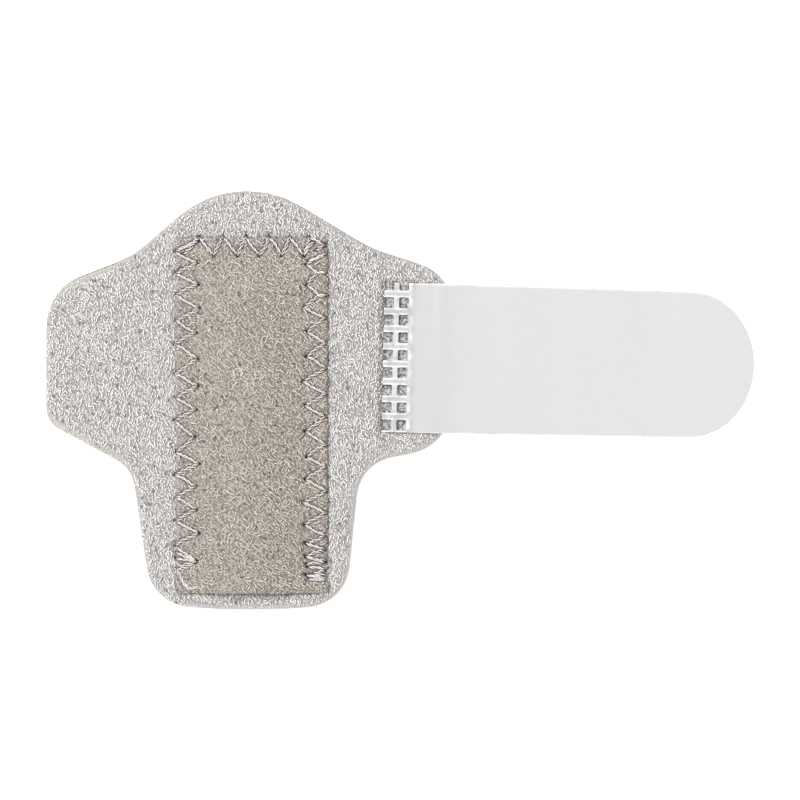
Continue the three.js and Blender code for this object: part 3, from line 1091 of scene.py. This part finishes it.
# Painted shade: the cells' hollows are darker than their walls.
foam_colour = foam.mix(cell_walls, (0.50, 0.46, 0.37), (0.74, 0.71, 0.61))
foam_colour = foam.mix(stain.step(0.4, 0.75) * 0.3, foam_colour, (0.66, 0.60, 0.46))
from_wing_end = foam.node("ShaderNodeSeparateXYZ", None, {0: foam.place}).step(-0.049, -0.041)
foam_colour = foam.mix(from_wing_end * 0.7, foam_colour, (0.50, 0.48, 0.455))
# Painted light: the foam's sides that face away from the window are made a lighter cream, lifting their
# shade.
foam_colour = foam.mix(foam.windowward() * -0.75 + 0.75, foam_colour, (0.97, 0.93, 0.82))
foam_finish = foam.finish(foam_colour, 0.9, cell_walls, 0.00015, Specular_IOR_Level=0.2)

knit = Finish("lining_jersey")
plain = knit.node("ShaderNodeSeparateXYZ", None, {0: knit.place})
column_waves = (plain * (2 * math.pi / 0.00075)).math("SINE", plain * (2 * math.pi / 0.00075))
slant = column_waves.math("ABSOLUTE", column_waves)
rows = plain.output("Y") * (2 * math.pi / 0.00055) + slant * 2.2
loops = rows.math("SINE", rows) * 0.5 + 0.5
ribs = slant * (0.4 + 0.6 * loops)
# Painted shade: the low parts of the knit's ribs and loops are darker.
knit_colour = knit.mix(ribs, (0.035, 0.036, 0.040), (0.17, 0.175, 0.185))
worn = knit.noise(knit.place, 120.0, 3.0).step(0.45, 0.8)
knit_colour = knit.mix(worn * 0.25, knit_colour, (0.22, 0.22, 0.22))
lining_finish = knit.finish(knit_colour, 0.85, ribs, 0.00018, Specular_IOR_Level=0.2)

# Painted shading that evens out the light: the tape's grey by its place along X in mm. The part over the
# wing, whose rise faces the window, is painted the dullest, and the slope down beyond it, which faces
# away, the lightest.
STRAP_END = 60.0
STRAP_SHADING_GREYS = [
    (5.3, 0.406), (6.7, 0.469), (10.0, 0.499), (16.7, 0.540),
    (28.0, 0.566), (35.0, 0.557), (43.3, 0.527),
]

tape = Finish("strap_tape")
tape_melt = tape.attribute("melt")
tape_weld = tape.attribute("weld")
mottle = tape.noise(tape.place, 700.0, 3.0)
grain = tape.noise(tape.place, 5200.0, 2.0)
tape_run = tape.node("ShaderNodeSeparateXYZ", None, {0: tape.place})
shading_greys = [(x / STRAP_END, (grey, grey, grey)) for x, grey in STRAP_SHADING_GREYS]
tape_colour = tape.node(
    "ShaderNodeValToRGB", {"stops": shading_greys}, {"Fac": tape_run / (STRAP_END * MM)}
)
tape_colour = tape.mix(mottle.step(0.3, 0.7) * 0.02, tape_colour, (1.0, 1.0, 1.0))
weld_colour = tape.mix(mottle.step(0.35, 0.65), (0.40, 0.40, 0.395), (0.475, 0.475, 0.47))
tape_colour = tape.mix(tape_weld * 0.8, tape_colour, weld_colour)
# Painted highlights, broken up by the mottle, lighten the tape towards pale grey.
painted_shine = tape.attribute("bright") * mottle.step(0.25, 0.6)
tape_colour = tape.mix(painted_shine, tape_colour, (0.78, 0.78, 0.78))
soot = tape.noise(tape.place, 2300.0, 3.0, 0.65)
dent_colour = tape.mix(soot.step(0.38, 0.64), (0.09, 0.09, 0.086), (0.52, 0.52, 0.50))
# Painted shadow in the dents' left and top corners.
dent_colour = tape.mix(tape.attribute("char"), dent_colour, (0.03, 0.03, 0.03))
tape_colour = tape.mix(tape_melt.step(0.35, 0.95), tape_colour, dent_colour)
tape_rough = 0.5 - 0.15 * tape_weld
tape_bump = grain * 0.3 + mottle * tape_weld
strap_finish = tape.finish(tape_colour, tape_rough, tape_bump, 0.00004, Specular_IOR_Level=0.35)

moulded = Finish("moulded_hooks")
speck = moulded.noise(moulded.place, 1500.0, 1.0)
hook_colour = moulded.mix(speck, (0.66, 0.66, 0.65), (0.76, 0.76, 0.75))
hook_finish = moulded.finish(hook_colour, 0.45, Specular_IOR_Level=0.4)

thread = Finish("seam_thread")
lustre = thread.noise(thread.place, 2400.0, 2.0)
thread_colour = thread.mix(lustre.step(0.35, 0.7), (0.69, 0.655, 0.645), (0.86, 0.83, 0.82))
thread_colour = thread.mix(thread.attribute("loose") * 0.8, thread_colour, (0.72, 0.635, 0.62))
# Painted shade: the thread's sides, which face away from straight up, are darkened.
thread_colour = thread.mix(thread.upward().step(0.86, 0.35), thread_colour, (0.10, 0.07, 0.07))
thread_finish = thread.finish(thread_colour, 0.6, lustre, 0.00004, Specular_IOR_Level=0.35)


def coat(piece, finish):
    piece.data.materials.clear()
    piece.data.materials.append(finish)


coat(stay_pocket, patch_finish)
coat(face_fabric, face_finish)
coat(foam_core, foam_finish)
coat(back_lining, lining_finish)
coat(hook_strap, strap_finish)

# Pile fibres: small arched tubes scattered by the nap attribute and turned by a drifting field

# Start, middle and end of each fibre shape, in shares of its length
FIBRE_SHAPES = [
    ((-0.5, 0.0, -0.10), (-0.1, 0.03, 0.42), (0.5, 0.0, -0.10)),
    ((-0.5, 0.03, -0.12), (0.1, -0.12, 0.36), (0.5, 0.04, -0.08)),
    ((-0.45, -0.06, -0.10), (0.0, 0.24, 0.30), (0.4, -0.06, -0.08)),
]


def pile_fibres(
    name, cloth, finish, gap, angle, scatter, length, thickness, seed, crossed=0.0, curled=False
):
    """A field of fibres on a cloth, with lengths in metres.

    They lie at an angle in degrees, strayed by the scatter in radians. A crossed share of them
    lies the other way, and where curled is set a few are nearly whole rings.
    """
    recipe = Recipe(name, gap=gap, length=length, thickness=thickness, seed=seed, finish=finish)
    points = recipe.node(
        "GeometryNodeDistributePointsOnFaces",
        {"distribute_method": "POISSON"},
        {
            "Mesh": recipe.base,
            "Distance Min": recipe.given("gap"),
            "Density Max": 1.1 / (gap * gap),
            "Density Factor": recipe.attribute("nap"),
            "Seed": recipe.given("seed"),
        },
    )
    lines = [
        recipe.node(
            "GeometryNodeCurveQuadraticBezier",
            None,
            {"Resolution": 2, "Start": start, "Middle": middle, "End": end},
        )
        for start, middle, end in FIBRE_SHAPES
    ]
    if curled:
        lines.append(
            recipe.node(
                "GeometryNodeCurveArc",
                {"mode": "RADIUS"},
                {"Resolution": 8, "Radius": 0.5, "Start Angle": 0.0, "Sweep Angle": 5.0},
            )
        )
    section = recipe.ring(3, recipe.given("thickness") / recipe.given("length"))
    solids = [
        recipe.node("GeometryNodeGeometryToInstance", None, {0: recipe.tube(line, section)})
        for line in lines
    ]
    choice = recipe.node("GeometryNodeJoinGeometry", None, {0: solids[::-1]})
    place = recipe.node("GeometryNodeInputPosition")
    drift = (recipe.noise(place, 520.0, 1.0) - 0.5) * 3.0 * scatter
    astray = recipe.random(-scatter, scatter, 7) + recipe.random(-scatter, scatter, 17)
    across = recipe.random(0.0, 1.0, 18)
    across = across.math("LESS_THAN", across, crossed) * (math.pi / 2)
    turn = drift + astray * 0.5 + across + math.radians(angle)
    upright = recipe.node(
        "FunctionNodeAlignRotationToVector",
        {"axis": "Z"},
        {"Vector": points.output("Normal")},
    )
    turned = upright
    tilt = recipe.spun((0.0, 1.0, 0.0), recipe.random(-0.3, 0.3, 8))
    for part in (recipe.spun(UP, turn), tilt):
        turned = recipe.node(
            "FunctionNodeRotateRotation", {"rotation_space": "LOCAL"}, {0: turned, 1: part}
        )
    size = recipe.given("length") * recipe.random(0.65, 1.35, 9)
    last_shape = len(FIBRE_SHAPES) - 1
    if curled:
        lot = recipe.random_whole(0, 30, 10)
        ringed = lot.math("LESS_THAN", lot, 2.0)
        pick = recipe.random_whole(0, last_shape, 13) * (1 - ringed) + ringed * (last_shape + 1)
    else:
        pick = recipe.random_whole(0, last_shape, 10)
    fibres = recipe.node(
        "GeometryNodeInstanceOnPoints",
        None,
        {
            "Points": points,
            "Instance": choice,
            "Pick Instance": True,
            "Instance Index": pick,
            "Rotation": turned,
            "Scale": recipe.evenly(size),
        },
    )
    toned = recipe.node(
        "GeometryNodeStoreNamedAttribute",
        {"data_type": "FLOAT", "domain": "INSTANCE"},
        {"Geometry": fibres, "Name": "tone", "Value": recipe.random(0.0, 1.0, 12)},
    )
    return recipe.make(toned, cloth, name)


face_pile = pile_fibres(
    "face_fabric_pile", face_fabric, face_fibre_finish,
    gap=0.00034, angle=103.0, scatter=1.2, length=0.00036, thickness=0.000143, seed=5,
)
pocket_pile = pile_fibres(
    "stay_pocket_pile", stay_pocket, patch_fibre_finish,
    gap=0.00034, angle=-40.0, scatter=0.55, length=0.00043, thickness=0.000136, seed=6, crossed=0.30,
)
pocket_loops = pile_fibres(
    "stay_pocket_loops", stay_pocket, patch_loop_finish,
    gap=0.0010, angle=-40.0, scatter=0.4, length=0.00120, thickness=0.000090, seed=8, crossed=0.2,
    curled=True,
)

# Zigzag stitching

def over_cloth(line):
    """A stitch's height on the cloth, diving into it at both ends."""
    on_patch = depth_inside(patch_outline, line) > -0.02
    height = np.where(on_patch, pocket_skin(line), FACE_TOP)
    padded_height = np.pad(height, 2, mode="edge")
    height = sum(padded_height[k:k + len(height)] for k in range(5)) / 5
    start = np.linalg.norm(line - line[0], axis=1)
    end = np.linalg.norm(line - line[-1], axis=1)
    dive = np.exp(-((np.minimum(start, end) / 0.3) ** 2))
    return height - 0.02 - 0.62 * dive


def thread_object():
    """All the stitches and the loose tail, each as two twisted plies."""
    points, edges, loose = [], [], []

    def lay(line, heights, looseness):
        first = len(points)
        points.extend((x, y, z) for (x, y), z in zip(line, heights))
        edges.extend((i, i + 1) for i in range(first, len(points) - 1))
        loose.extend([looseness] * len(line))

    for line in stitch_lines:
        rising = np.prod(line[-1] - line[0]) > 0
        lay(line, over_cloth(line), 1.0 if rising else 0.0)
    on_patch = depth_inside(patch_outline, tail_line) > 0
    tail_height = np.where(on_patch, pocket_skin(tail_line), FACE_TOP) + 0.1
    tail_height[0] -= 0.5
    lay(tail_line, tail_height, 0.0)
    lines = guide_object("stitch_lines", points, edges)
    lines.data.attributes.new("loose", "FLOAT", "POINT").data.foreach_set("value", loose)
    recipe = Recipe(
        "twisted_thread", ply_radius=0.000125, ply_offset=0.00013, twist=0.0021, finish=thread_finish
    )
    curve = recipe.node("GeometryNodeMeshToCurve", None, {"Mesh": recipe.base})
    travelled = recipe.node("GeometryNodeSplineParameter", output="Length")
    normal = recipe.node("GeometryNodeInputNormal")
    tangent = recipe.node("GeometryNodeInputTangent")
    sideways = recipe.vector("CROSS_PRODUCT", tangent, normal)
    section = recipe.ring(5, recipe.given("ply_radius"))
    apart = recipe.given("ply_offset") * (1.0 + recipe.attribute("loose") * 0.45)
    plies = []
    for start in (0.0, math.pi):
        angle = travelled * (2 * math.pi) / recipe.given("twist") + start
        lift = angle.math("COSINE", angle) * apart
        swing = angle.math("SINE", angle) * apart
        offset = recipe.vector("ADD", recipe.scaled(normal, lift), recipe.scaled(sideways, swing))
        moved = recipe.node(
            "GeometryNodeSetPosition", None, {"Geometry": curve, "Offset": offset}
        )
        plies.append(recipe.tube(moved, section))
    both = recipe.node("GeometryNodeJoinGeometry", None, {0: plies})
    stitched = recipe.make(both, lines, "zigzag_stitching")
    bpy.data.objects.remove(lines)
    return stitched


zigzag_stitching = thread_object()

# Hooks under the strap, in mm

HOOK_ROW_PITCH = 1.25
HOOK_PITCH = 1.4
HOOK_STAGGER = 0.275


def hook_object():
    """Single hooks in staggered rows, rooted in the web's underside and facing either way."""
    places = []
    rows = np.arange(HOOK_START + 0.7, STRAP_LENGTH - 1.3, HOOK_ROW_PITCH)
    for row, along in enumerate(rows):
        half = float(strap_half(np.array([along + 0.9]))[0]) - 1.0
        root = float(web_underside(np.array([along]))[0]) + 0.02
        for across in np.arange(-half + row % 2 * HOOK_STAGGER, half, HOOK_PITCH):
            places.append((*(STRAP_ROOT + along * ALONG + across * ACROSS), root))
    roots = guide_object("hook_roots", places, [])
    recipe = Recipe("moulded_hooks", height=0.00070, thickness=0.00011, finish=hook_finish)
    hook = recipe.node(
        "GeometryNodeCurvePrimitiveBezierSegment",
        {"mode": "POSITION"},
        {
            "Resolution": 6,
            "Start": (0.0, 0.0, 0.0),
            "Start Handle": (-0.1, 0.0, -0.9),
            "End Handle": (0.45, 0.0, -1.25),
            "End": (0.62, 0.0, -0.55),
        },
    )
    tube = recipe.tube(hook, recipe.ring(4, recipe.given("thickness") / recipe.given("height")))
    points = recipe.node("GeometryNodeMeshToPoints", None, {"Mesh": recipe.base})
    size = recipe.given("height")
    turn = recipe.random_whole(0, 1, 3) * math.pi - STRAP_TURN
    hooks = recipe.node(
        "GeometryNodeInstanceOnPoints",
        None,
        {
            "Points": points,
            "Instance": tube,
            "Rotation": recipe.spun(UP, turn),
            "Scale": recipe.evenly(size),
        },
    )
    made = recipe.make(hooks, roots, "hook_field_hooks")
    bpy.data.objects.remove(roots)
    return made


hook_field = hook_object()

# Where each piece belongs

for piece, node, slot in (
    (face_fabric, "face_fabric", "face_fabric"),
    (foam_core, "foam_core", "foam"),
    (back_lining, "back_lining", "lining"),
    (stay_pocket, "stay_pocket", "pocket"),
    (hook_strap, "hook_strap", "strap"),
    (hook_field, "hook_field", "hooks"),
):
    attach(piece, "root")
    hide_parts(node)
for piece, slot in (
    (face_pile, "face_fabric"),
    (pocket_pile, "pocket"),
    (pocket_loops, "pocket"),
    (zigzag_stitching, "pocket"),
):
    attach(piece, "root")

# Floor, light and camera

FLOOR_REACH = 2.0
WINDOW_SIZE = 1.0
WINDOW_PLACE = Vector((-0.95, 0.50, 1.35))
PIXELS_PER_METRE = 6000.0
IMAGE_PIXELS = 800.0
CAMERA_HEIGHT = 0.95

floor_mesh = bpy.data.meshes.new("floor")
floor_corners = [(x * FLOOR_REACH, y * FLOOR_REACH, 0) for x, y in ((-1, -1), (1, -1), (1, 1), (-1, 1))]
floor_mesh.from_pydata(floor_corners, [], [(0, 1, 2, 3)])
floor = placed("floor", floor_mesh)
paper = Finish("pale_paper")
paper_finish = paper.finish(
    (0.95, 0.95, 0.95), 0.9, Specular_IOR_Level=0.0,
    Emission_Color=(1.0, 1.0, 1.0, 1.0), Emission_Strength=0.62,
)
coat(floor, paper_finish)

world = bpy.data.worlds.new("studio")
bpy.context.scene.world = world
world.use_nodes = True
background = world.node_tree.nodes["Background"]
background.inputs["Color"].default_value = (1.0, 1.0, 1.0, 1.0)
background.inputs["Strength"].default_value = 0.65

key = bpy.data.lights.new("window", "AREA")
key.shape = "SQUARE"
key.size = WINDOW_SIZE
key.energy = 36.6
key_object = placed("window", key)
key_object.location = WINDOW_PLACE
key_object.rotation_euler = (-WINDOW_PLACE).to_track_quat("-Z", "Y").to_euler()

camera_data = bpy.data.cameras.new("camera")
camera_data.sensor_width = 36.0
seen_width = IMAGE_PIXELS / PIXELS_PER_METRE
camera_data.lens = camera_data.sensor_width * (CAMERA_HEIGHT - FACE_TOP * MM) / seen_width
camera_data.clip_start = 0.05
camera_data.clip_end = 20.0
camera = placed("camera", camera_data)
camera.location = (0.0, 0.0, CAMERA_HEIGHT)
bpy.context.scene.camera = camera
bpy.context.scene.view_settings.view_transform = "Standard"
bpy.context.scene.view_settings.look = "None"
